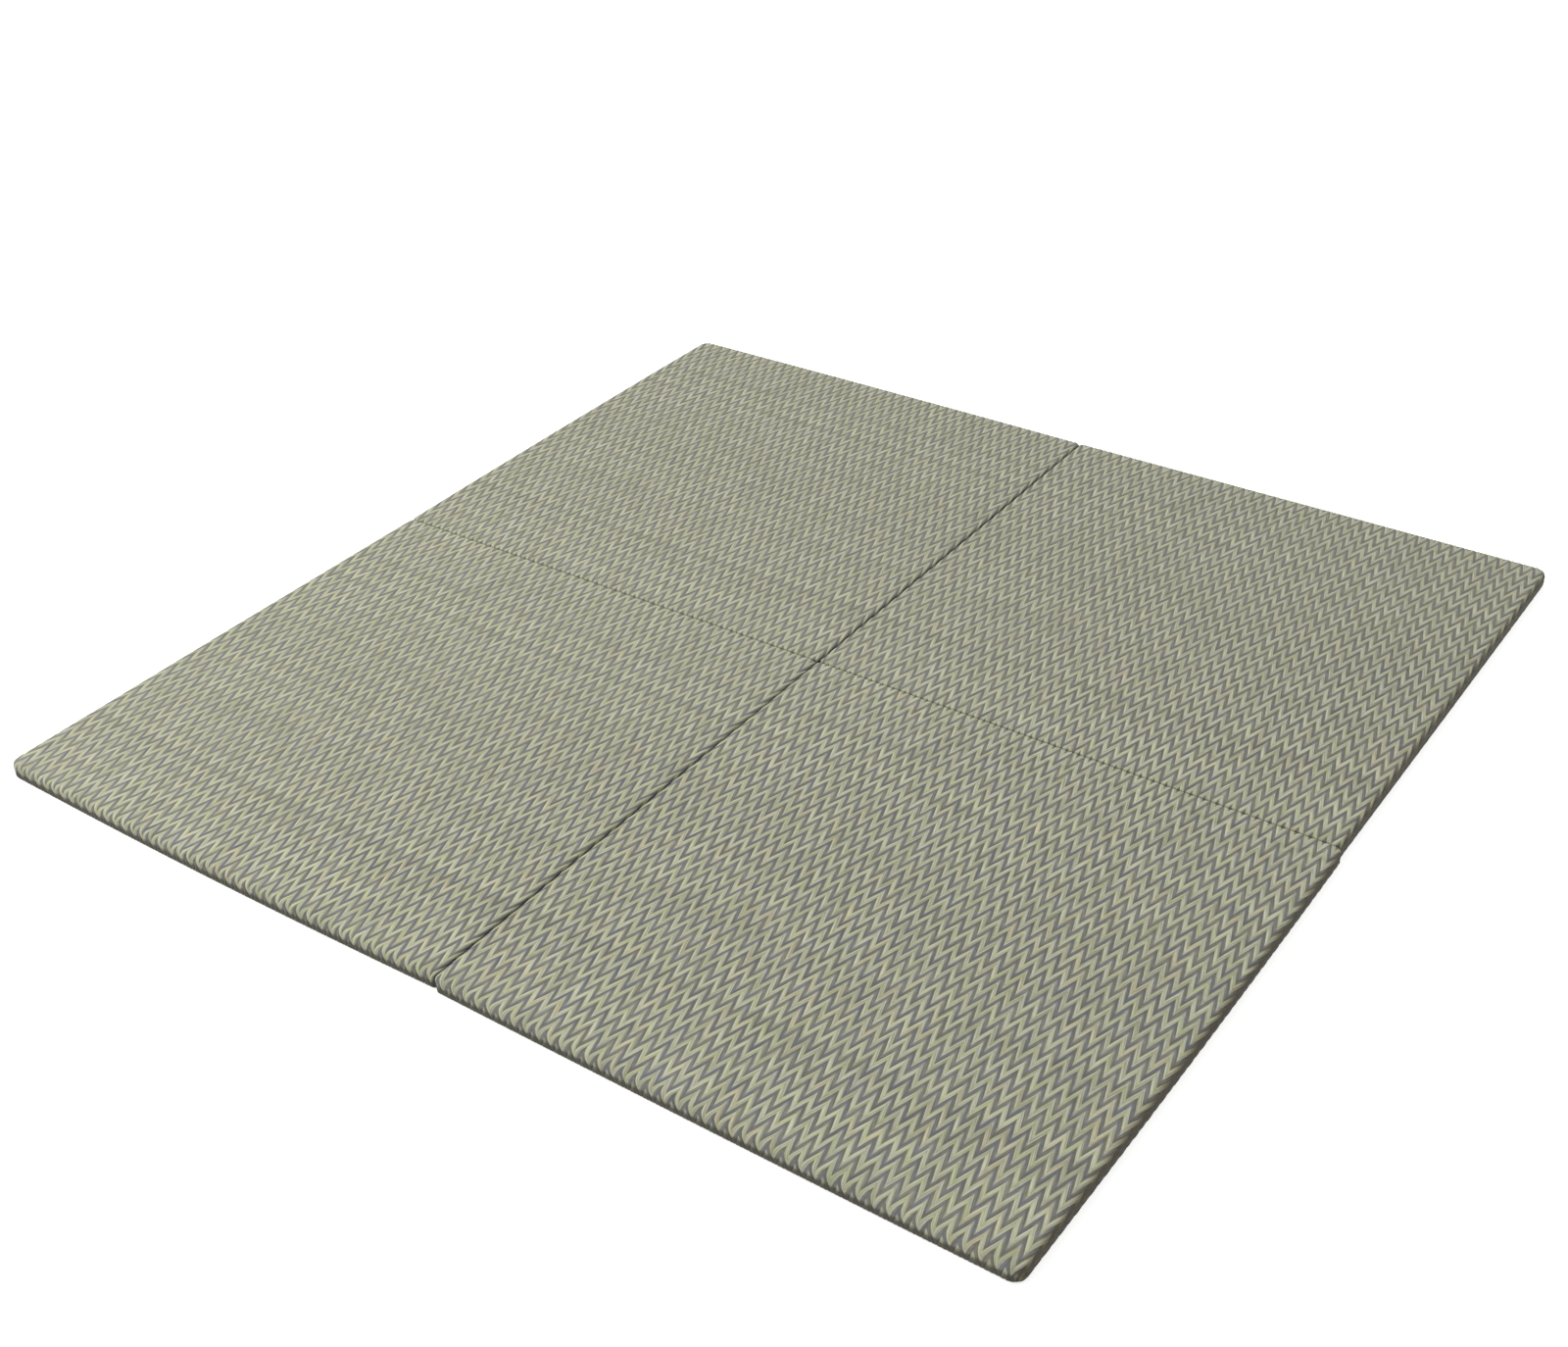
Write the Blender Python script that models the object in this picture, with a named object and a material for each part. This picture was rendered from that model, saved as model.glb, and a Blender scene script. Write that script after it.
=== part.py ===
"""Edgeless tatami mat: four square wrapped panels laid two by two on a floor."""
import bpy
import bmesh
import math
from mathutils import Vector

# Sizes in metres
THICKNESS = 0.025
SEAM_GAP = 0.0003
TOP_ROUND = 0.007
FOOT_ROUND = 0.0045
MAT_CORNER_RADIUS = 0.016
SEAM_CORNER_RADIUS = 0.009

# Steps of the rounded forms
ROUND_STEPS = 5
CORNER_STEPS = 5
EDGE_STEPS = 12

# Outer corners of the whole mat, named as they stand in the photograph
BACK = Vector((-0.8200, 0.8200))
RIGHT = Vector((0.8198, 0.8200))
FRONT = Vector((0.8185, -0.8200))
LEFT = Vector((-0.8200, -0.8200))

# Ends of the seams, and the point where all four panels meet
CENTRE = Vector((0.0039, 0.0043))
SEAM_BACK = Vector((0.0033, 0.8200))
SEAM_NEAR = Vector((0.0009, -0.8185))
SEAM_NEAR_PROUD = Vector((0.0009, -0.8222))
SEAM_LEFT = Vector((-0.8200, -0.0007))
SEAM_RIGHT = Vector((0.8192, 0.0035))
SEAM_RIGHT_PROUD = Vector((0.8231, 0.0035))

# Corners of each panel, counter-clockwise, and how far the edge after each corner bows out (None is a seam)
PANELS = {
    "panel_back": ((CENTRE, None), (SEAM_BACK, 0.0022), (BACK, 0.0032), (SEAM_LEFT, None)),
    "panel_right": ((CENTRE, None), (SEAM_RIGHT, 0.0004), (RIGHT, 0.0004), (SEAM_BACK, None)),
    "panel_front": ((CENTRE, None), (SEAM_NEAR_PROUD, 0.0014), (FRONT, 0.0022), (SEAM_RIGHT_PROUD, None)),
    "panel_left": ((CENTRE, None), (SEAM_LEFT, 0.0010), (LEFT, 0.0054), (SEAM_NEAR, None)),
}

COVER_COLOUR = (0.310, 0.318, 0.222, 1.0)
COVER_ROUGHNESS = 0.75


def clear_scene():
    for obj in list(bpy.data.objects):
        bpy.data.objects.remove(obj, do_unlink=True)


def cover_material():
    mat = bpy.data.materials.new("woven_cover")
    mat.use_nodes = True
    shader = mat.node_tree.nodes["Principled BSDF"]
    shader.inputs["Base Color"].default_value = COVER_COLOUR
    shader.inputs["Roughness"].default_value = COVER_ROUGHNESS
    shader.inputs["Metallic"].default_value = 0.0
    return mat


def inward(start, end):
    """Unit normal to the left of the edge, into a counter-clockwise panel."""
    along = (end - start).normalized()
    return Vector((-along.y, along.x))


def crossing(point_a, along_a, point_b, along_b):
    """Point where two lines of the plan meet."""
    det = along_a.x * along_b.y - along_a.y * along_b.x
    gap = point_b - point_a
    step = (gap.x * along_b.y - gap.y * along_b.x) / det
    return point_a + along_a * step


def inset_corners(corners, bows, by):
    """Corners of the panel drawn in by half the seam gap at seams, and by a set amount all round."""
    count = len(corners)
    lines = []
    for i in range(count):
        start = corners[i]
        end = corners[(i + 1) % count]
        shift = by + SEAM_GAP / 2 if bows[i] is None else by
        lines.append((start + inward(start, end) * shift, end - start))
    result = []
    for i in range(count):
        before = lines[i - 1]
        result.append(crossing(before[0], before[1], lines[i][0], lines[i][1]))
    return result


def corner_radius(bows, i):
    """Radius of a corner in the plan: wide at the corners of the whole mat, small where a seam ends."""
    at_seam = bows[i] is None or bows[i - 1] is None
    return SEAM_CORNER_RADIUS if at_seam else MAT_CORNER_RADIUS


def outline(corners, bows, by):
    """Loop of plan points at a given distance inside the panel's side."""
    points = inset_corners(corners, bows, by)
    count = len(points)
    loop = []
    for i in range(count):
        corner = points[i]
        radius = corner_radius(bows, i) - by
        into = (corner - points[i - 1]).normalized()
        away = (points[(i + 1) % count] - corner).normalized()
        turn = into.angle(away)
        reach = radius * math.tan(turn / 2)
        start = corner - into * reach
        middle = start + Vector((-into.y, into.x)) * radius
        for k in range(CORNER_STEPS + 1):
            angle = turn * k / CORNER_STEPS
            arm = Vector((into.y, -into.x))
            arm = Vector((
                arm.x * math.cos(angle) - arm.y * math.sin(angle),
                arm.x * math.sin(angle) + arm.y * math.cos(angle),
            ))
            loop.append(middle + arm * radius)
        leave = corner + away * reach
        following = points[(i + 1) % count]
        arrive = following - away * (corner_radius(bows, (i + 1) % count) - by)
        bow = bows[i] or 0.0
        for k in range(1, EDGE_STEPS):
            share = k / EDGE_STEPS
            swell = bow * 4 * share * (1 - share)
            loop.append(leave.lerp(arrive, share) - Vector((-away.y, away.x)) * swell)
    return loop


def side_profile():
    """Distance inside the side and height, from the underside up to the top."""
    steps = []
    for k in range(ROUND_STEPS + 1):
        angle = math.pi / 2 * k / ROUND_STEPS
        steps.append((FOOT_ROUND * (1 - math.sin(angle)), FOOT_ROUND * (1 - math.cos(angle))))
    for k in range(ROUND_STEPS + 1):
        angle = math.pi / 2 * k / ROUND_STEPS
        rise = THICKNESS - TOP_ROUND + TOP_ROUND * math.sin(angle)
        steps.append((TOP_ROUND * (1 - math.cos(angle)), rise))
    return steps


def build_panel(name, ring, material):
    corners = [entry[0] for entry in ring]
    bows = [entry[1] for entry in ring]
    bm = bmesh.new()
    loops = []
    for by, height in side_profile():
        loops.append([bm.verts.new((p.x, p.y, height)) for p in outline(corners, bows, by)])
    for lower, upper in zip(loops, loops[1:]):
        for i in range(len(lower)):
            j = (i + 1) % len(lower)
            bm.faces.new((lower[i], lower[j], upper[j], upper[i])).smooth = True
    bm.faces.new(list(reversed(loops[0])))
    bm.faces.new(loops[-1])
    mesh = bpy.data.meshes.new(name)
    bm.to_mesh(mesh)
    bm.free()
    mesh.materials.append(material)
    obj = bpy.data.objects.new(name, mesh)
    bpy.context.scene.collection.objects.link(obj)
    return obj


def centre_on_origin(objects):
    """Move the panels so that the middle of their box stands on the origin."""
    points = [v.co for obj in objects for v in obj.data.vertices]
    mid_x = (min(p.x for p in points) + max(p.x for p in points)) / 2
    mid_y = (min(p.y for p in points) + max(p.y for p in points)) / 2
    for point in points:
        point.x -= mid_x
        point.y -= mid_y
    print("centre moved by %.5f %.5f" % (mid_x, mid_y))


def main():
    clear_scene()
    material = cover_material()
    panels = [build_panel(name, ring, material) for name, ring in PANELS.items()]
    centre_on_origin(panels)


main()
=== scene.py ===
"""Edgeless tatami mat, dressed: woven covers over four boards, a pale floor, soft light and the camera.

The file is laid out as an add-on and is run as a script.
"""
import math

import bmesh
import bpy
from mathutils import Matrix, Vector


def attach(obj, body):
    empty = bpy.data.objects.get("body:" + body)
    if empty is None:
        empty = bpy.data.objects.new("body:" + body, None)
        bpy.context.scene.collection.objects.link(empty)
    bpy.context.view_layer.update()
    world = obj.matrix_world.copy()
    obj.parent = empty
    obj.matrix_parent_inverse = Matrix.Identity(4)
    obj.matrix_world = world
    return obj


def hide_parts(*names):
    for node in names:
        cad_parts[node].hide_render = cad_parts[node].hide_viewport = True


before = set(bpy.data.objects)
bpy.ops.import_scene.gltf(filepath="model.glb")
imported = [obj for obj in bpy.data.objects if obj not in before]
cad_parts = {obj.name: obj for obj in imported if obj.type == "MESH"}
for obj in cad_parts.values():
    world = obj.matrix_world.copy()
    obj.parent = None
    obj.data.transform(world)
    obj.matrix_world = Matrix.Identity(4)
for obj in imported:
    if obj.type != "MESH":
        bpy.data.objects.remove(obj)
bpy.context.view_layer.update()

bl_info = {
    "name": "Tatami Mat",
    "version": (1, 0, 0),
    "blender": (4, 5, 0),
    "location": "View3D > Sidebar > Tatami",
    "description": "Builds the woven panels of a tatami mat and the stage that it is shown on",
    "category": "Add Mesh",
}

# Shape of a board, in metres, as the solids have it
HALF_SIDE = 0.410
THICKNESS = 0.025
TOP_ROUND = 0.007
FOOT_ROUND = 0.0045
MAT_CORNER_RADIUS = 0.016

# The cover, where it differs from the solids: tighter corners and crisper edges at the seams, how far it keeps
# from a seam's line, and how far it stands proud of the board elsewhere
SEAM_CORNER_RADIUS = 0.0073
CRISP_ALONG_X = 1.4
CRISP_ALONG_Y = 1.6
SEAM_CLEARANCE = 0.0001
PROUD = 0.0008

# Heights at which the shade starts and ends, on outer sides and on seams that face along X or Y
SHADE_X = (THICKNESS + 0.0003, THICKNESS - 0.0077)
SHADE_Y = (THICKNESS - 0.006, 0.005)
SHADE_SEAM_X = (THICKNESS, THICKNESS - 0.006)
SHADE_SEAM_Y = (THICKNESS - 0.0006, THICKNESS - 0.0045)

# Directions, in degrees, of the cuts that round a corner of the flat cover
CORNER_CUTS = (22.5, 45.0, 67.5)

# Plan of the boards, in metres: the outer corners, the seams' ends and the point where all four meet
BACK = Vector((-0.8202, 0.8212))
RIGHT = Vector((0.8196, 0.8212))
FRONT = Vector((0.8183, -0.8188))
LEFT = Vector((-0.8202, -0.8188))
CENTRE = Vector((0.0037, 0.0055))
SEAM_BACK = Vector((0.0031, 0.8212))
SEAM_NEAR = Vector((0.0007, -0.8173))
SEAM_NEAR_PROUD = Vector((0.0007, -0.8210))
SEAM_LEFT = Vector((-0.8202, 0.0005))
SEAM_RIGHT = Vector((0.8190, 0.0047))
SEAM_RIGHT_PROUD = Vector((0.8229, 0.0047))

# Each board: its corners counter-clockwise from -X -Y, and how far its outer sides bow out
BOARDS = {
    "panel_back": ((SEAM_LEFT, CENTRE, SEAM_BACK, BACK), {"-X": 0.0032, "+Y": 0.0022}),
    "panel_right": ((CENTRE, SEAM_RIGHT, RIGHT, SEAM_BACK), {"+X": 0.0004, "+Y": 0.0004}),
    "panel_front": ((SEAM_NEAR_PROUD, FRONT, SEAM_RIGHT_PROUD, CENTRE), {"+X": 0.0022, "-Y": 0.0014}),
    "panel_left": ((LEFT, SEAM_NEAR, CENTRE, SEAM_LEFT), {"-X": 0.0010, "-Y": 0.0054}),
}

# How the weave lies on each board, in millimetres: the start of its columns and of its rows, each with its
# drift along x, y, x², xy, y², x³, x²y, xy² and y³, where x and y run from -1 to 1 over the board
LAY = {
    "panel_back": (
        (6.2, -1.5, 2.0, 0.3, 0.2, 3.0, 0.3, -0.3, -0.5, 0.7),
        (12.6, 0.8, 0.1, 1.9, 0.9, -1.5, -0.7, 0.4, 0.6, 0.2)),
    "panel_right": (
        (9.4, 1.0, 3.6, -3.0, -1.4, 2.9, 0.9, -0.9, -0.2, -0.3),
        (10.6, 2.5, 0.2, 2.3, -2.0, -1.3, -0.4, 0.5, -0.7, 0.4)),
    "panel_front": (
        (18.8, -0.2, 1.7, -3.4, 0.1, -1.7, 2.0, -0.3, -0.4, -0.2),
        (13.2, 1.2, -2.8, 2.0, -0.3, 0.5, -0.2, 0.5, -0.3, 0.9)),
    "panel_left": (
        (15.5, -0.5, 0.0, -2.2, 1.9, 4.5, -1.0, -1.0, -0.3, -0.5),
        (5.6, 2.2, -2.1, 2.4, -0.2, 2.3, -0.6, 2.9, -0.5, -1.0)),
}

# Strands of one straw and one blue-grey band, and the mesh steps across half a column
STRAW_STRANDS = 5
BLUE_STRANDS = 4
STRANDS = STRAW_STRANDS + BLUE_STRANDS
COLUMN_STEPS = 3

# Layers of the mesh that say how far a point lies round an outer side along X or Y, or down a seam, and so how
# much painted shade the cover takes there
FOLDS = ("fold_x", "fold_y", "fold_seam")

# Colours that only single strands or places take
WARM_STRAND = (0.360, 0.300, 0.200, 1.0)
GREEN_STRAND = (0.262, 0.305, 0.163, 1.0)
# Painted shade of the straw on the blue-grey inside each bend
CROOK_SHADE_COLOUR = (0.100, 0.096, 0.055, 1.0)
FADED_WEAVE = (0.245, 0.248, 0.190, 1.0)
# Painted shade in the seams between the boards
SEAM_SHADE_COLOUR = (0.022, 0.025, 0.030, 1.0)

# Stage: the floor, the window light and the camera, with its angles in degrees
FLOOR_HALF = 12.0
FLOOR_DROP = 0.0003
WINDOW_PLACE = (-2.7, -1.5, 3.0)
WINDOW_SIZE = (3.0, 2.2)
WINDOW_COLOUR = (1.0, 0.985, 0.955)
CAMERA_PLACE = (1.4750, -2.0698, 1.7026)
CAMERA_LENS = 47.156
CAMERA_TURN = 36.487
CAMERA_TILT = 56.269
CAMERA_ROLL = -2.376


# Properties

class TatamiWeave(bpy.types.PropertyGroup):
    """Sizes of the woven cover"""

    pitch: bpy.props.FloatProperty(
        name="Zigzag pitch", description="Distance from one point of a zigzag to the next",
        default=0.01887, min=0.004, subtype="DISTANCE", unit="LENGTH")
    pair: bpy.props.FloatProperty(
        name="Colour pair", description="Depth of one straw and one blue-grey zigzag together",
        default=0.0338, min=0.006, subtype="DISTANCE", unit="LENGTH")
    rise: bpy.props.FloatProperty(
        name="Zigzag rise", description="Height of a zigzag from its low points to its high points",
        default=0.0262, min=0.0, subtype="DISTANCE", unit="LENGTH")
    relief: bpy.props.FloatProperty(
        name="Relief", description="Depth of the grooves between the woven limbs",
        default=0.0010, min=0.0, max=0.003, subtype="DISTANCE", unit="LENGTH")
    wander: bpy.props.FloatProperty(
        name="Wander", description="How far single rows and columns stray from their line",
        default=0.0006, min=0.0, subtype="DISTANCE", unit="LENGTH")
    pucker: bpy.props.FloatProperty(
        name="Corner pucker", description="Height of the small gathers where the cover turns a corner",
        default=0.0007, min=0.0, max=0.003, subtype="DISTANCE", unit="LENGTH")


class TatamiColours(bpy.types.PropertyGroup):
    """Colours of the woven cover and its backing"""

    straw: bpy.props.FloatVectorProperty(
        name="Straw", description="Natural rush of the light zigzag",
        default=(0.290, 0.294, 0.181), size=3, min=0.0, max=1.0, subtype="COLOR")
    worn_straw: bpy.props.FloatVectorProperty(
        name="Worn straw", description="Straw where it has been worn pale",
        default=(0.330, 0.338, 0.292), size=3, min=0.0, max=1.0, subtype="COLOR")
    crook: bpy.props.FloatVectorProperty(
        name="Crook", description="Yellower straw in the inner bends of the zigzag",
        default=(0.276, 0.276, 0.114), size=3, min=0.0, max=1.0, subtype="COLOR")
    blue_grey: bpy.props.FloatVectorProperty(
        name="Blue-grey", description="Dyed rush of the dark zigzag",
        default=(0.101, 0.111, 0.137), size=3, min=0.0, max=1.0, subtype="COLOR")
    olive_grey: bpy.props.FloatVectorProperty(
        name="Olive grey", description="Dyed rush where the dye has worn",
        default=(0.153, 0.142, 0.092), size=3, min=0.0, max=1.0, subtype="COLOR")
    # Pale tips: partly worn, paler straw and partly a painted highlight where the tips catch the light
    pale: bpy.props.FloatVectorProperty(
        name="Pale tips", description="Worn, bleached tips of the zigzag",
        default=(0.319, 0.326, 0.282), size=3, min=0.0, max=1.0, subtype="COLOR")
    # Painted shade: grooves between the bands and the sides of the boards are darkened towards this colour
    gap: bpy.props.FloatVectorProperty(
        name="Gaps", description="Shade between the woven bands",
        default=(0.036, 0.033, 0.021), size=3, min=0.0, max=1.0, subtype="COLOR")
    # Partly the strands' own colour, partly painted shade on the sides along X
    brown: bpy.props.FloatVectorProperty(
        name="Turned edge", description="Brown of the strands where they turn over the sides along X",
        default=(0.135, 0.108, 0.056), size=3, min=0.0, max=1.0, subtype="COLOR")
    backing: bpy.props.FloatVectorProperty(
        name="Backing", description="Plain cloth of the underside",
        default=(0.180, 0.168, 0.135), size=3, min=0.0, max=1.0, subtype="COLOR")


class TatamiStage(bpy.types.PropertyGroup):
    """Floor, light and camera"""

    floor: bpy.props.FloatVectorProperty(
        name="Floor", description="Plain pale floor",
        default=(0.45, 0.45, 0.445), size=3, min=0.0, max=1.0, subtype="COLOR")
    glow: bpy.props.FloatProperty(
        name="Floor glow", description="Light of the floor itself, as of a lit table, which softens shadows",
        default=1.52, min=0.0, max=2.0)
    key: bpy.props.FloatProperty(
        name="Window light", description="Power of the soft light above the left of the mat",
        default=167.0, min=0.0, unit="POWER")
    fill: bpy.props.FloatProperty(
        name="Fill", description="Strength of the even light from all round",
        default=0.985, min=0.0)


# Shape of a covered board

def side_step(along):
    """Reach beyond the flat top, height and lean of the surface, at a distance along the cover."""
    roll = TOP_ROUND * math.pi / 2
    wall = THICKNESS - TOP_ROUND - FOOT_ROUND
    foot = FOOT_ROUND * math.pi / 2
    if along <= 0.0:
        return along, THICKNESS, 0.0
    if along <= roll:
        lean = along / TOP_ROUND
        return TOP_ROUND * math.sin(lean), THICKNESS - TOP_ROUND * (1 - math.cos(lean)), lean
    along -= roll
    if along <= wall:
        return TOP_ROUND, THICKNESS - TOP_ROUND - along, math.pi / 2
    along -= wall
    turn = min(along, foot) / FOOT_ROUND
    reach = TOP_ROUND - FOOT_ROUND * (1 - math.cos(turn)) - max(along - foot, 0.0)
    return reach, FOOT_ROUND * (1 - math.sin(turn)), math.pi / 2 + turn


def fold_places():
    """Distances from the edge of the flat top at which the cover is creased, so that it bends cleanly."""
    roll = TOP_ROUND * math.pi / 2
    wall = THICKNESS - TOP_ROUND - FOOT_ROUND
    foot = FOOT_ROUND * math.pi / 2
    places = [roll * k / 5 for k in range(6)]
    places += [roll + wall * k / 3 for k in (1, 2, 3)]
    places += [roll + wall + foot * k / 3 for k in (1, 2, 3)]
    return places


def corner_radius(sign_x, sign_y, bows):
    """Wide at the corners of the whole mat, small where a seam ends."""
    side_x = "+X" if sign_x > 0 else "-X"
    side_y = "+Y" if sign_y > 0 else "-Y"
    return MAT_CORNER_RADIUS if side_x in bows and side_y in bows else SEAM_CORNER_RADIUS


def wrap(a, b, bows):
    """Place in the plan, height, direction of the face and lean for a point of the flat cover."""
    sign_x = math.copysign(1.0, a)
    sign_y = math.copysign(1.0, b)
    radius = corner_radius(sign_x, sign_y, bows)
    start = HALF_SIDE - radius
    over_x = abs(a) - start
    over_y = abs(b) - start
    if over_x > 0.0 and over_y > 0.0:
        reach = math.hypot(over_x, over_y)
        out_x, out_y = over_x / reach, over_y / reach
        base_x = base_y = start
    elif over_x > over_y:
        out_x, out_y, reach = 1.0, 0.0, over_x
        base_x, base_y = start, abs(b)
    else:
        out_x, out_y, reach = 0.0, 1.0, over_y
        base_x, base_y = abs(a), start
    flat = radius - TOP_ROUND
    out, height, lean = side_step(reach - flat)
    if lean == 0.0:
        return a, b, THICKNESS, Vector((0.0, 0.0, 1.0)), 0.0
    out = max(flat + out, 0.0002)
    tilt = math.sin(lean)
    facing = Vector((out_x * sign_x * tilt, out_y * sign_y * tilt, math.cos(lean)))
    return (base_x + out_x * out) * sign_x, (base_y + out_y * out) * sign_y, height, facing, lean


def on_plan(a, b, corners, bows):
    """The same spot on the board's own plan, which is a little out of square and bows outwards."""
    x = a / HALF_SIDE
    y = b / HALF_SIDE
    near = corners[0].lerp(corners[1], (x + 1) / 2)
    far = corners[3].lerp(corners[2], (x + 1) / 2)
    place = near.lerp(far, (y + 1) / 2)
    side_x = "+X" if x > 0 else "-X"
    side_y = "+Y" if y > 0 else "-Y"
    if side_x in bows:
        place.x += math.copysign(bows[side_x] * (1 - min(y * y, 1.0)) * x * x, x)
    else:
        place.x -= x * SEAM_CLEARANCE
    if side_y in bows:
        place.y += math.copysign(bows[side_y] * (1 - min(x * x, 1.0)) * y * y, y)
    else:
        place.y -= y * SEAM_CLEARANCE
    return place


def zigzag(u, pitch):
    """0 on the high points of the zigzag and 1 on its low points."""
    return 1 - abs(1 - 2 * ((u / pitch) % 1.0))


def drift(terms, a, b):
    """Start of the columns or rows on a board, with their drift, in metres."""
    x = a / HALF_SIDE
    y = b / HALF_SIDE
    parts = (1.0, x, y, x * x, x * y, y * y, x ** 3, x * x * y, x * y * y, y ** 3)
    return sum(term * part for term, part in zip(terms, parts)) / 1000


def stray(u, v, seed):
    """Small stray of single rows and columns, from -1 to 1."""
    first = math.sin(2 * math.pi * (u / 0.131 + v / 0.43 + seed))
    second = math.sin(2 * math.pi * (u / 0.071 - v / 0.23 + 2.3 * seed))
    return 0.6 * first + 0.4 * second


def side_shares(facing, bows):
    """Share of a direction that faces an outer side along X or Y, and a seam along X or Y."""
    level = facing.x ** 2 + facing.y ** 2
    if level < 1e-9:
        return 0.0, 0.0, 0.0, 0.0
    share_x = facing.x ** 2 / level
    outer_x = ("+X" if facing.x > 0 else "-X") in bows
    outer_y = ("+Y" if facing.y > 0 else "-Y") in bows
    side_x = share_x if outer_x else 0.0
    side_y = 1.0 - share_x if outer_y else 0.0
    return side_x, side_y, share_x - side_x, 1.0 - share_x - side_y


def crisp_height(height, seam_x, seam_y):
    """Height on the top round, which is crisper where two boards press together at a seam."""
    depth = (THICKNESS - height) / TOP_ROUND
    if depth <= 0.0 or depth >= 1.0:
        return height
    return THICKNESS - TOP_ROUND * depth ** (1 + (CRISP_ALONG_X - 1) * seam_x + (CRISP_ALONG_Y - 1) * seam_y)


def fold_depth(height, start, end):
    """How far a height lies down a side, from 0 at the start of the shade to 1 at its end."""
    return max(0.0, min(1.0, (start - height) / (start - end)))


def band_height(u, v, weave):
    """Height of the woven relief, from 0 in a groove to 1 on the back of a band."""
    column = zigzag(u, weave.pitch)
    strand = ((v + weave.rise * column) / weave.pair * STRANDS + STRAW_STRANDS / 2) % STRANDS
    if strand < STRAW_STRANDS:
        share, full = strand / STRAW_STRANDS, 1.0
    else:
        share, full = (strand - STRAW_STRANDS) / BLUE_STRANDS, 0.85
    return full * max(math.sin(math.pi * share), 0.0) ** 0.6 * (1 - 0.25 * abs(2 * column - 1) ** 3)


def crease(bm, direction, places, trim):
    """Cut the flat cover along lines across a direction, and trim it at the last one."""
    step_x, step_y = direction
    first = min(places) - 1e-4
    verts = [v for v in bm.verts if v.co.x * step_x + v.co.y * step_y > first]
    faces = {f for v in verts for f in v.link_faces}
    edges = {e for f in faces for e in f.edges}
    corners = {v for f in faces for v in f.verts}
    geom = list(corners) + list(edges) + list(faces)
    plane = Vector((step_x, step_y, 0.0))
    for place in sorted(places):
        last = trim and place == max(places)
        cut = bmesh.ops.bisect_plane(
            bm, geom=geom, dist=1e-6, plane_co=plane * place, plane_no=plane, clear_outer=last)
        geom = [g for g in cut["geom"] if g.is_valid]


def flat_cover(weave, lay, bows, seed):
    """Flat piece of weave, cut to shape: rows follow the zigzag, and lines are creased for the folds."""
    places = fold_places()
    flat_edge = HALF_SIDE - TOP_ROUND
    reach = flat_edge + places[-1]
    step_u = weave.pitch / (2 * COLUMN_STEPS)
    step_v = weave.pair / STRANDS
    count_u = 2 * math.ceil((reach + weave.pitch * 2) / step_u)
    count_v = 2 * math.ceil((reach + weave.rise / 2 + weave.pair) / step_v)
    middle = round((weave.rise / 2 - weave.pair / 2) / step_v)
    bm = bmesh.new()
    pattern = bm.verts.layers.float_vector.new("pattern")
    bmesh.ops.create_grid(bm, x_segments=count_u, y_segments=count_v, size=1.0)
    bmesh.ops.scale(bm, vec=(count_u * step_u / 2, count_v * step_v / 2, 1.0), verts=bm.verts)
    for v in bm.verts:
        u = round(v.co.x / step_u) * step_u
        row = round(v.co.y / step_v) + middle + 0.5
        w = row * step_v - weave.rise * zigzag(u, weave.pitch)
        v[pattern] = (u, w, 0.0)
        v.co.x = u + drift(lay[0], u, w) + weave.wander * stray(u, w, seed)
        v.co.y = w + drift(lay[1], u, w) + weave.wander * stray(w, u, seed + 0.37)
    for direction in ((1, 0), (-1, 0), (0, 1), (0, -1)):
        crease(bm, direction, [flat_edge + p for p in places], True)
    for sign_x in (1, -1):
        for sign_y in (1, -1):
            radius = corner_radius(sign_x, sign_y, bows)
            round_reach = places[-1] + radius - TOP_ROUND
            for turn in CORNER_CUTS:
                direction = (math.cos(math.radians(turn)) * sign_x, math.sin(math.radians(turn)) * sign_y)
                middle = (HALF_SIDE - radius) * (abs(direction[0]) + abs(direction[1]))
                crease(bm, direction, [middle + round_reach], True)
    return bm, pattern


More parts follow.
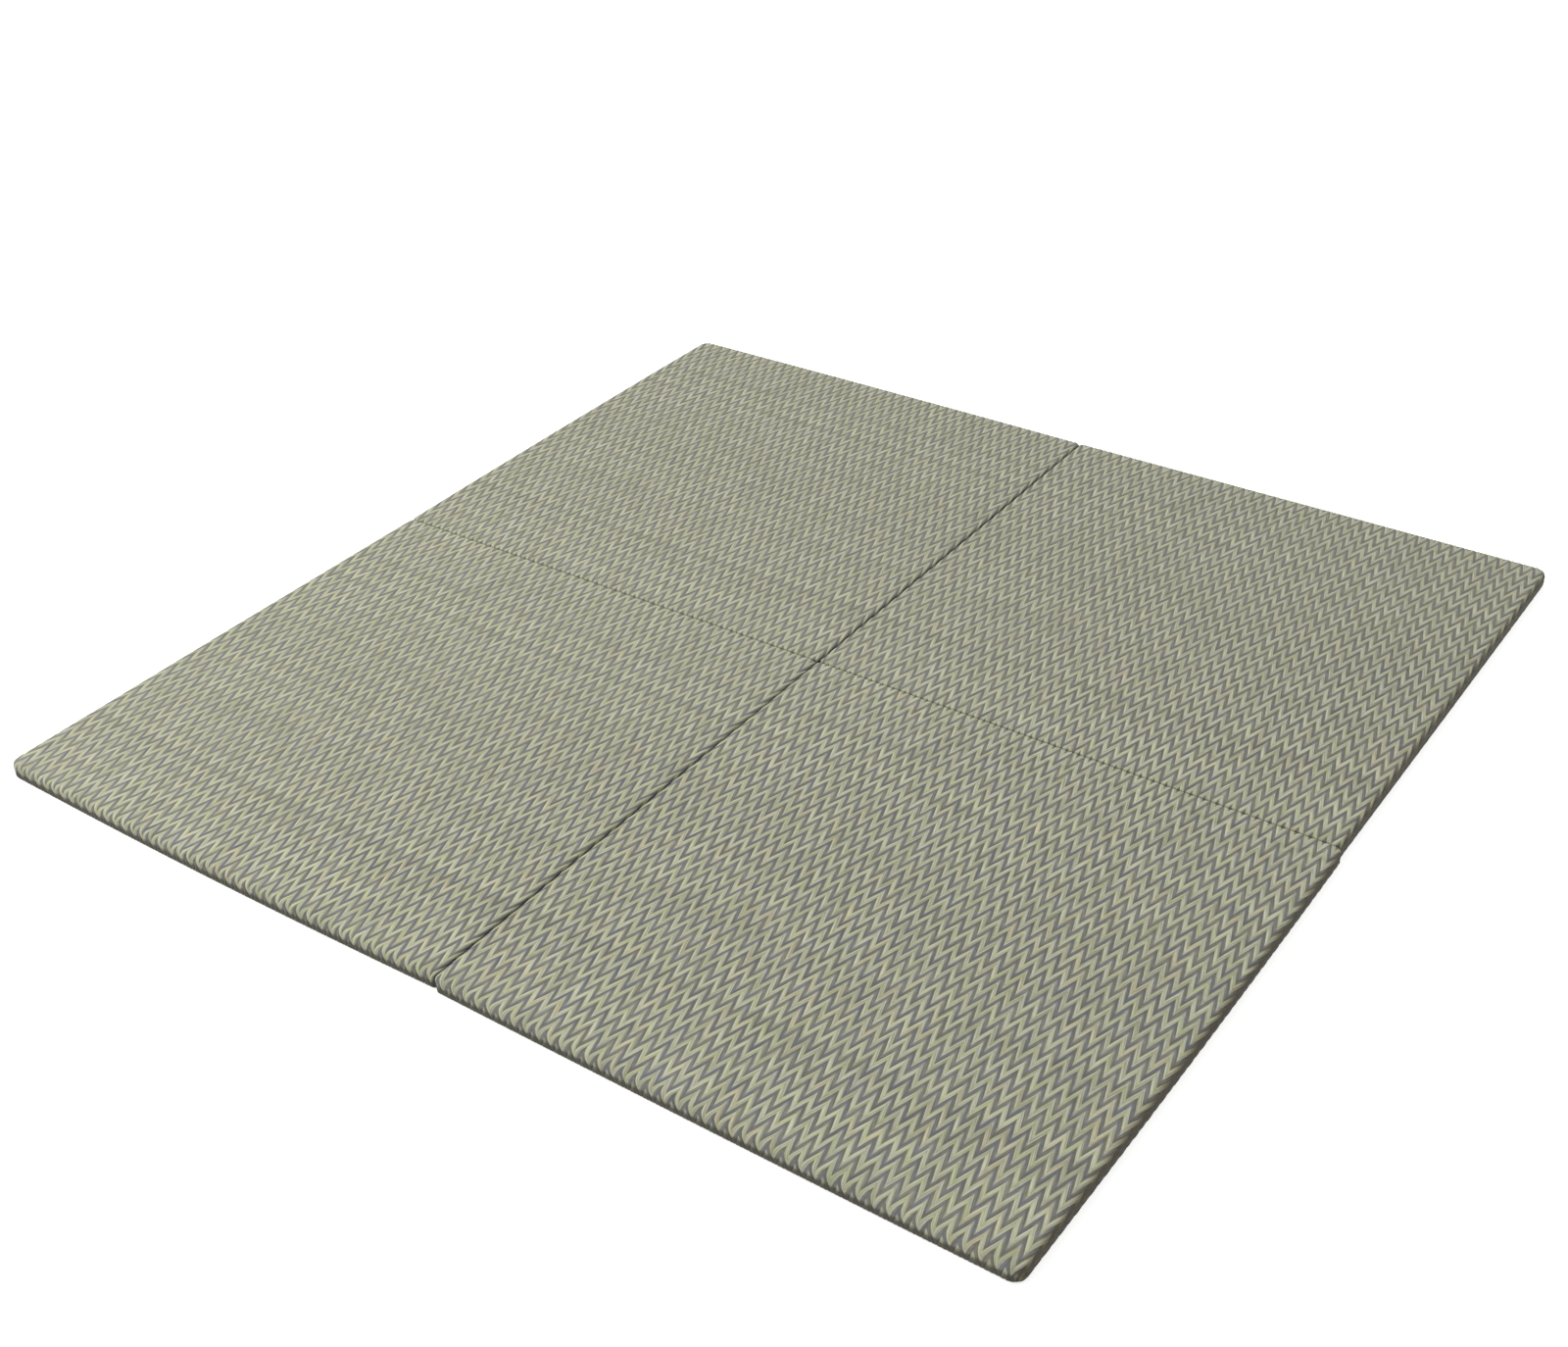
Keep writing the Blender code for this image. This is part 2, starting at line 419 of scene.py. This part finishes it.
def woven_panel(name, weave, materials):
    corners, bows = BOARDS[name]
    seed = 0.21 * list(BOARDS).index(name)
    bm, pattern = flat_cover(weave, LAY[name], bows, seed)
    uv = bm.loops.layers.uv.new("cover")
    fold_x, fold_y, fold_seam = [bm.verts.layers.float.new(layer) for layer in FOLDS]
    for face in bm.faces:
        face.smooth = True
        for loop in face.loops:
            loop[uv].uv = loop.vert[pattern].xy
    for v in bm.verts:
        a, b = v.co.x, v.co.y
        spot_x, spot_y, height, facing, lean = wrap(a, b, bows)
        place = on_plan(spot_x, spot_y, corners, bows)
        u, w, _ = v[pattern]
        low = max(0.0, min(1.0, (lean - math.pi / 2) / 0.9))
        side_x, side_y, seam_x, seam_y = side_shares(facing, bows)
        deeper = 1 + (0.5 - 1.3 * seam_y) * min(lean, 1.2) / 1.2
        sink = weave.relief * deeper * (1 - band_height(u, w, weave)) * (1 - low)
        radius = corner_radius(a, b, bows)
        over_x = abs(a) - HALF_SIDE + radius
        over_y = abs(b) - HALF_SIDE + radius
        if over_x > 0 and over_y > 0:
            turn = math.atan2(over_y, over_x)
            gather = 0.5 + 0.5 * math.cos(6 * turn)
            sink += weave.pucker * gather * math.sin(2 * turn) * min(lean, 1.0) * (1 - low)
        sink -= PROUD * (1 - (seam_x + seam_y) * (1 - facing.z ** 2)) * (1 - low)
        height = crisp_height(height, seam_x, seam_y)
        v.co = Vector((place.x, place.y, height)) - facing * sink
        v[fold_x] = side_x * fold_depth(height, *SHADE_X)
        v[fold_y] = side_y * fold_depth(height, *SHADE_Y)
        v[fold_seam] = seam_x * fold_depth(height, *SHADE_SEAM_X)
        v[fold_seam] += seam_y * fold_depth(height, *SHADE_SEAM_Y)
    rim = [e for e in bm.edges if e.is_boundary]
    under = bmesh.ops.contextual_create(bm, geom=rim, mat_nr=1)["faces"]
    for face in under:
        face.smooth = False
        for loop in face.loops:
            loop[uv].uv = loop.vert.co.xy
    bmesh.ops.triangulate(bm, faces=bm.faces, quad_method="SHORT_EDGE", ngon_method="EAR_CLIP")
    bmesh.ops.dissolve_degenerate(bm, dist=1e-6, edges=bm.edges)
    bmesh.ops.recalc_face_normals(bm, faces=bm.faces)
    mesh = bpy.data.meshes.new(name + "_cover")
    bm.to_mesh(mesh)
    bm.free()
    for material in materials:
        mesh.materials.append(material)
    piece = bpy.data.objects.new("woven_" + name, mesh)
    bpy.context.scene.collection.objects.link(piece)
    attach(piece, "root")
    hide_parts(name)
    return piece


# Materials

class Tree:
    """Adds nodes to a material or a group, one short call each."""

    def __init__(self, tree):
        self.tree = tree

    def add(self, kind, **values):
        node = self.tree.nodes.new(kind)
        for key, value in values.items():
            setattr(node, key, value)
        return node

    def put(self, socket, value):
        if isinstance(value, bpy.types.NodeSocket):
            self.tree.links.new(value, socket)
        else:
            socket.default_value = value

    def math(self, operation, first, second=0.0, third=0.0, clamp=False):
        node = self.add("ShaderNodeMath", operation=operation, use_clamp=clamp)
        for socket, value in zip(node.inputs, (first, second, third)):
            self.put(socket, value)
        return node.outputs[0]

    def ramp(self, value, low, high, out_low=0.0, out_high=1.0):
        node = self.add("ShaderNodeMapRange", interpolation_type="SMOOTHSTEP")
        for socket, part in zip(node.inputs, (value, low, high, out_low, out_high)):
            self.put(socket, part)
        return node.outputs[0]

    def mix(self, share, first, second, blend="MIX"):
        node = self.add("ShaderNodeMix", data_type="RGBA", blend_type=blend)
        self.put(node.inputs[0], share)
        self.put(node.inputs[6], first)
        self.put(node.inputs[7], second)
        return node.outputs[2]

    def vector(self, x, y, z=0.0):
        node = self.add("ShaderNodeCombineXYZ")
        for socket, value in zip(node.inputs, (x, y, z)):
            self.put(socket, value)
        return node.outputs[0]

    def noise(self, vector, scale, detail=2.0, rough=0.5):
        node = self.add("ShaderNodeTexNoise")
        self.put(node.inputs["Vector"], vector)
        self.put(node.inputs["Scale"], scale)
        self.put(node.inputs["Detail"], detail)
        self.put(node.inputs["Roughness"], rough)
        return node.outputs["Fac"]

    def chance(self, vector):
        node = self.add("ShaderNodeTexWhiteNoise", noise_dimensions="3D")
        self.put(node.inputs["Vector"], vector)
        return node.outputs["Value"]


def rgba(colour):
    return (colour[0], colour[1], colour[2], 1.0)


def fibre_group():
    """Fine fibres that run along a strand: a value that changes over the surface and a height."""
    group = bpy.data.node_groups.new("Rush fibres", "ShaderNodeTree")
    for name in ("Along", "Across", "Stretch"):
        group.interface.new_socket(name, in_out="INPUT", socket_type="NodeSocketFloat")
    for name in ("Value", "Height"):
        group.interface.new_socket(name, in_out="OUTPUT", socket_type="NodeSocketFloat")
    tree = Tree(group)
    inside = tree.add("NodeGroupInput").outputs
    outside = tree.add("NodeGroupOutput").inputs
    along = tree.math("DIVIDE", inside["Along"], inside["Stretch"])
    streaks = tree.noise(tree.vector(along, inside["Across"]), 1500.0, 3.0, 0.6)
    blotches = tree.noise(tree.vector(inside["Along"], inside["Across"]), 38.0, 2.0, 0.5)
    both = tree.math("ADD", tree.math("MULTIPLY", streaks, 0.65), tree.math("MULTIPLY", blotches, 0.35))
    tree.put(outside["Value"], both)
    tree.put(outside["Height"], streaks)
    return group


def cover_material(weave, colours, fibres):
    mat = bpy.data.materials.new("woven_cover")
    mat.use_nodes = True
    shader = mat.node_tree.nodes["Principled BSDF"]
    tree = Tree(mat.node_tree)
    place = tree.add("ShaderNodeUVMap", uv_map="cover").outputs[0]
    split = tree.add("ShaderNodeSeparateXYZ")
    tree.put(split.inputs[0], place)
    u, v = split.outputs[0], split.outputs[1]

    # Position in the weave: column from a high point (0) to a low point (1), and row from the middle of a
    # straw band (0) to half a pair above or below it
    columns = tree.math("DIVIDE", u, weave.pitch / 2)
    column = tree.math("PINGPONG", columns, 1.0)
    drop = tree.math("MULTIPLY_ADD", column, weave.rise, v)
    pairs = tree.math("DIVIDE", drop, weave.pair)
    row = tree.math("SUBTRACT", tree.math("FRACT", tree.math("ADD", pairs, 0.5)), 0.5)
    across = tree.math("ABSOLUTE", row)
    inner = tree.math("MULTIPLY", row, tree.math("MULTIPLY_ADD", column, 2.0, -1.0))
    half_straw = STRAW_STRANDS / STRANDS / 2
    edge = tree.math("MULTIPLY_ADD", inner, 0.12, across)
    blue = tree.ramp(edge, half_straw - 0.018, half_straw + 0.018)

    # Each strand between a high and a low point has a tint of its own
    half = tree.math("FLOOR", columns)
    strands = tree.math("MULTIPLY", pairs, float(STRANDS))
    strands = tree.math("ADD", strands, 0.5)
    strand = tree.math("FLOOR", strands)
    band = tree.math("FLOOR", tree.math("ADD", tree.math("MULTIPLY", pairs, 2.0), 0.5))
    band_tint = tree.chance(tree.vector(half, band, 3.0))
    strand_tint = tree.chance(tree.vector(half, strand, 7.0))
    hue_tint = tree.chance(tree.vector(half, strand, 11.0))
    place_on_strand = tree.vector(tree.math("MULTIPLY", u, 0.6), tree.math("MULTIPLY", drop, 1.3))
    fine = tree.add("ShaderNodeGroup", node_tree=fibres)
    tree.put(fine.inputs["Along"], v)
    tree.put(fine.inputs["Across"], tree.math("MULTIPLY", drop, 0.35))
    tree.put(fine.inputs["Stretch"], 14.0)

    # Wear comes in patches and strand by strand, less in the bends than on the limbs, and more towards +Y, where
    # the extra paleness is painted sheen
    patch = tree.ramp(tree.noise(place_on_strand, 105.0, 2.0, 0.6), 0.36, 0.64)
    worn = tree.math("ADD", tree.math("MULTIPLY", patch, 0.75), tree.math("MULTIPLY", hue_tint, 0.4))
    bent = tree.ramp(tree.math("ABSOLUTE", tree.math("MULTIPLY_ADD", column, 2.0, -1.0)), 0.4, 0.9, 1.0, 0.5)
    spot = tree.add("ShaderNodeSeparateXYZ")
    tree.put(spot.inputs[0], tree.add("ShaderNodeTexCoord").outputs["Object"])
    # Paler towards +Y: painted sheen
    worn = tree.math("MULTIPLY_ADD", worn, bent, tree.ramp(spot.outputs[1], -0.45, 0.45, 0.0, 0.16))

    # Straw: yellower in the inner bends, paler at the tips (partly paler straw, partly a painted highlight),
    # with a warm or green strand here and there
    crook = tree.ramp(inner, 0.02, 0.22)
    tip = tree.ramp(inner, -0.08, -0.27)
    straw = tree.mix(worn, rgba(colours.straw), rgba(colours.worn_straw))
    straw = tree.mix(crook, straw, rgba(colours.crook))
    warm = tree.ramp(band_tint, 0.88, 0.94, 0.0, 0.35)
    straw = tree.mix(warm, straw, WARM_STRAND)
    green = tree.ramp(band_tint, 0.12, 0.06, 0.0, 0.35)
    straw = tree.mix(green, straw, GREEN_STRAND)

    # Blue-grey: bluer where the dye holds, olive where it has worn
    slate = tree.mix(worn, rgba(colours.blue_grey), rgba(colours.olive_grey))
    # Painted shade of the straw on the blue-grey inside each bend
    slate = tree.mix(tree.ramp(inner, 0.27, 0.33, 0.0, 0.7), slate, CROOK_SHADE_COLOUR)
    base = tree.mix(blue, straw, slate)
    # Painted highlight, with paler straw, on the tips of the zigzag
    highlighted = tree.math("MULTIPLY", tip, tree.ramp(across, 0.30, 0.42, 0.70, 0.0))
    base = tree.mix(highlighted, base, rgba(colours.pale))

    # Light on the strands, a little more towards the boards' edges, and shade between the strands and the bands.
    # Away from the nearest corner the two colours fade towards each other
    fibre_light = tree.ramp(fine.outputs["Value"], 0.3, 0.7, 0.82, 1.16)
    strand_light = tree.ramp(strand_tint, 0.0, 1.0, 0.81, 1.20)
    crown = tree.math("SINE", tree.math("MULTIPLY", tree.math("FRACT", strands), math.pi))
    strand_shade = tree.ramp(crown, 0.0, 0.6, 0.80, 1.0)
    edge_light = tree.ramp(tree.math("ABSOLUTE", v), 0.28, 0.41, 0.985, 1.035)
    light = tree.math("MULTIPLY", tree.math("MULTIPLY", fibre_light, strand_light), strand_shade)
    light = tree.math("MULTIPLY", light, edge_light)
    grey = tree.add("ShaderNodeCombineColor")
    for socket in grey.inputs:
        tree.put(socket, light)
    base = tree.mix(1.0, base, grey.outputs[0], "MULTIPLY")
    faded = tree.ramp(tree.math("SUBTRACT", spot.outputs[0], spot.outputs[1]), 0.5, -0.1, 0.0, 0.15)
    base = tree.mix(faded, base, FADED_WEAVE)
    # Painted shade in the grooves where the straw and blue-grey bands meet
    groove = tree.ramp(tree.math("ABSOLUTE", tree.math("SUBTRACT", edge, half_straw)), 0.0, 0.045, 0.38, 0.0)

    # Over the outer sides along X the straw turns brown, partly the turned strands' own colour and partly
    # painted shade, and both colours go dark with painted shade. Down those along Y painted shade shows between
    # the points.
    # On both the painted shade takes the blue-grey bands first and then the straw, a little unevenly
    specks = tree.math("MULTIPLY_ADD", tree.noise(place, 420.0, 1.0, 0.5), 0.8, 0.6)
    folds = [tree.add("ShaderNodeAttribute", attribute_name=name).outputs["Fac"] for name in FOLDS]
    fold_x = tree.math("MULTIPLY", folds[0], specks)
    fold_y = tree.math("MULTIPLY", folds[1], specks)
    brown = tree.ramp(fold_x, 0.0, 0.55, 0.0, 0.86)
    brown = tree.math("MULTIPLY", brown, tree.ramp(blue, 0.0, 1.0, 1.0, 0.5))
    base = tree.mix(brown, base, rgba(colours.brown))
    straw_shade = tree.ramp(fold_x, 0.3, 0.95, 0.0, 0.90)
    straw_shade = tree.math("MAXIMUM", tree.ramp(fold_y, 0.15, 0.75, 0.0, 0.92), straw_shade)
    blue_shade = tree.ramp(fold_x, 0.0, 0.6, 0.0, 0.90)
    blue_shade = tree.math("MAXIMUM", tree.ramp(fold_y, 0.03, 0.58, 0.0, 0.92), blue_shade)
    deeper = tree.math("MULTIPLY", blue, tree.math("SUBTRACT", blue_shade, straw_shade))
    shade = tree.math("MAXIMUM", groove, tree.math("ADD", straw_shade, deeper))
    base = tree.mix(shade, base, rgba(colours.gap))

    # In a seam painted shade darkens the boards' turned edges, least where they press together just in front of
    # the middle
    off_tight = tree.math("ABSOLUTE", tree.math("ADD", spot.outputs[1], 0.13))
    seam_shade_share = tree.ramp(off_tight, 0.06, 0.17, 0.3, 1.0)
    seam_shade_share = tree.math("MULTIPLY", seam_shade_share, tree.ramp(blue, 0.0, 1.0, 0.42, 0.9))
    seam_shade = tree.math("MULTIPLY", tree.ramp(folds[2], 0.0, 0.7), seam_shade_share)
    base = tree.mix(seam_shade, base, SEAM_SHADE_COLOUR)
    tree.put(shader.inputs["Base Color"], base)
    tree.put(shader.inputs["Roughness"], tree.ramp(fine.outputs["Value"], 0.3, 0.7, 0.74, 0.56))

    height = tree.math("MULTIPLY_ADD", crown, 0.8, tree.math("MULTIPLY", fine.outputs["Height"], 0.35))
    bump = tree.add("ShaderNodeBump")
    bump.inputs["Strength"].default_value = 0.65
    bump.inputs["Distance"].default_value = 0.0005
    tree.put(bump.inputs["Height"], height)
    tree.put(shader.inputs["Normal"], bump.outputs[0])
    shader.inputs["Specular IOR Level"].default_value = 0.30
    return mat


def backing_material(colours, fibres):
    mat = bpy.data.materials.new("backing_cloth")
    mat.use_nodes = True
    shader = mat.node_tree.nodes["Principled BSDF"]
    tree = Tree(mat.node_tree)
    place = tree.add("ShaderNodeUVMap", uv_map="cover").outputs[0]
    split = tree.add("ShaderNodeSeparateXYZ")
    tree.put(split.inputs[0], place)
    fine = tree.add("ShaderNodeGroup", node_tree=fibres)
    tree.put(fine.inputs["Along"], split.outputs[0])
    tree.put(fine.inputs["Across"], split.outputs[1])
    tree.put(fine.inputs["Stretch"], 3.0)
    dark = tuple(0.72 * c for c in colours.backing)
    shade = tree.ramp(fine.outputs["Value"], 0.3, 0.7)
    tree.put(shader.inputs["Base Color"], tree.mix(shade, rgba(dark), rgba(colours.backing)))
    tree.put(shader.inputs["Roughness"], tree.ramp(fine.outputs["Value"], 0.3, 0.7, 0.95, 0.85))
    bump = tree.add("ShaderNodeBump")
    bump.inputs["Strength"].default_value = 0.4
    bump.inputs["Distance"].default_value = 0.0004
    tree.put(bump.inputs["Height"], fine.outputs["Height"])
    tree.put(shader.inputs["Normal"], bump.outputs[0])
    return mat


def floor_material(colour, glow):
    mat = bpy.data.materials.new("pale_floor")
    mat.use_nodes = True
    shader = mat.node_tree.nodes["Principled BSDF"]
    shader.inputs["Base Color"].default_value = rgba(colour)
    shader.inputs["Roughness"].default_value = 0.9
    shader.inputs["Emission Color"].default_value = rgba(colour)
    shader.inputs["Emission Strength"].default_value = glow
    return mat


# Stage

def soft_light(name, place, aim, size, power, colour):
    data = bpy.data.lights.new(name, "AREA")
    data.shape = "RECTANGLE"
    data.size, data.size_y = size
    data.energy = power
    data.color = colour
    lamp = bpy.data.objects.new(name, data)
    lamp.location = place
    lamp.rotation_euler = (Vector(place) - Vector(aim)).to_track_quat("Z", "Y").to_euler()
    bpy.context.scene.collection.objects.link(lamp)


class TATAMI_OT_panels(bpy.types.Operator):
    """Weave and wrap the cover of each of the four panels"""

    bl_idname = "tatami.panels"
    bl_label = "Woven panels"

    def execute(self, context):
        scene = context.scene
        fibres = fibre_group()
        cover = cover_material(scene.tatami_weave, scene.tatami_colours, fibres)
        backing = backing_material(scene.tatami_colours, fibres)
        for name in BOARDS:
            woven_panel(name, scene.tatami_weave, (cover, backing))
        return {"FINISHED"}


class TATAMI_OT_stage(bpy.types.Operator):
    """Lay the floor, hang the soft light and set up the camera"""

    bl_idname = "tatami.stage"
    bl_label = "Stage and camera"

    def execute(self, context):
        scene = context.scene
        stage = scene.tatami_stage
        bm = bmesh.new()
        bmesh.ops.create_grid(bm, x_segments=4, y_segments=4, size=FLOOR_HALF)
        bmesh.ops.translate(bm, vec=(0.0, 0.0, -FLOOR_DROP), verts=bm.verts)
        mesh = bpy.data.meshes.new("floor")
        bm.to_mesh(mesh)
        bm.free()
        mesh.materials.append(floor_material(stage.floor, stage.glow))
        floor = bpy.data.objects.new("floor", mesh)
        scene.collection.objects.link(floor)

        soft_light("window_light", WINDOW_PLACE, (0.0, 0.0, 0.0), WINDOW_SIZE, stage.key, WINDOW_COLOUR)
        world = bpy.data.worlds.new("studio")
        world.use_nodes = True
        air = world.node_tree.nodes["Background"]
        air.inputs["Color"].default_value = (1.0, 1.0, 1.0, 1.0)
        air.inputs["Strength"].default_value = stage.fill
        scene.world = world
        scene.view_settings.view_transform = "Standard"

        data = bpy.data.cameras.new("camera")
        data.sensor_fit = "HORIZONTAL"
        data.sensor_width = 36.0
        data.lens = CAMERA_LENS
        camera = bpy.data.objects.new("camera", data)
        camera.location = CAMERA_PLACE
        turn = Matrix.Rotation(math.radians(CAMERA_TURN), 3, "Z")
        tilt = Matrix.Rotation(math.radians(CAMERA_TILT), 3, "X")
        roll = Matrix.Rotation(math.radians(CAMERA_ROLL), 3, "Z")
        camera.rotation_euler = (turn @ tilt @ roll).to_euler()
        scene.collection.objects.link(camera)
        scene.camera = camera
        return {"FINISHED"}


class TATAMI_PT_sidebar(bpy.types.Panel):
    """Tatami mat tools"""

    bl_idname = "TATAMI_PT_sidebar"
    bl_label = "Tatami Mat"
    bl_space_type = "VIEW_3D"
    bl_region_type = "UI"
    bl_category = "Tatami"

    def draw(self, context):
        scene = context.scene
        for group in (scene.tatami_weave, scene.tatami_colours, scene.tatami_stage):
            box = self.layout.box()
            for key in group.bl_rna.properties.keys():
                if key not in {"rna_type", "name"}:
                    box.prop(group, key)
        self.layout.operator("tatami.panels")
        self.layout.operator("tatami.stage")


CLASSES = (TatamiWeave, TatamiColours, TatamiStage, TATAMI_OT_panels, TATAMI_OT_stage, TATAMI_PT_sidebar)


def register():
    for cls in CLASSES:
        bpy.utils.register_class(cls)
    bpy.types.Scene.tatami_weave = bpy.props.PointerProperty(type=TatamiWeave)
    bpy.types.Scene.tatami_colours = bpy.props.PointerProperty(type=TatamiColours)
    bpy.types.Scene.tatami_stage = bpy.props.PointerProperty(type=TatamiStage)


def unregister():
    del bpy.types.Scene.tatami_stage
    del bpy.types.Scene.tatami_colours
    del bpy.types.Scene.tatami_weave
    for cls in reversed(CLASSES):
        bpy.utils.unregister_class(cls)


def main():
    register()
    bpy.ops.tatami.panels()
    bpy.ops.tatami.stage()


if __name__ == "__main__":
    main()
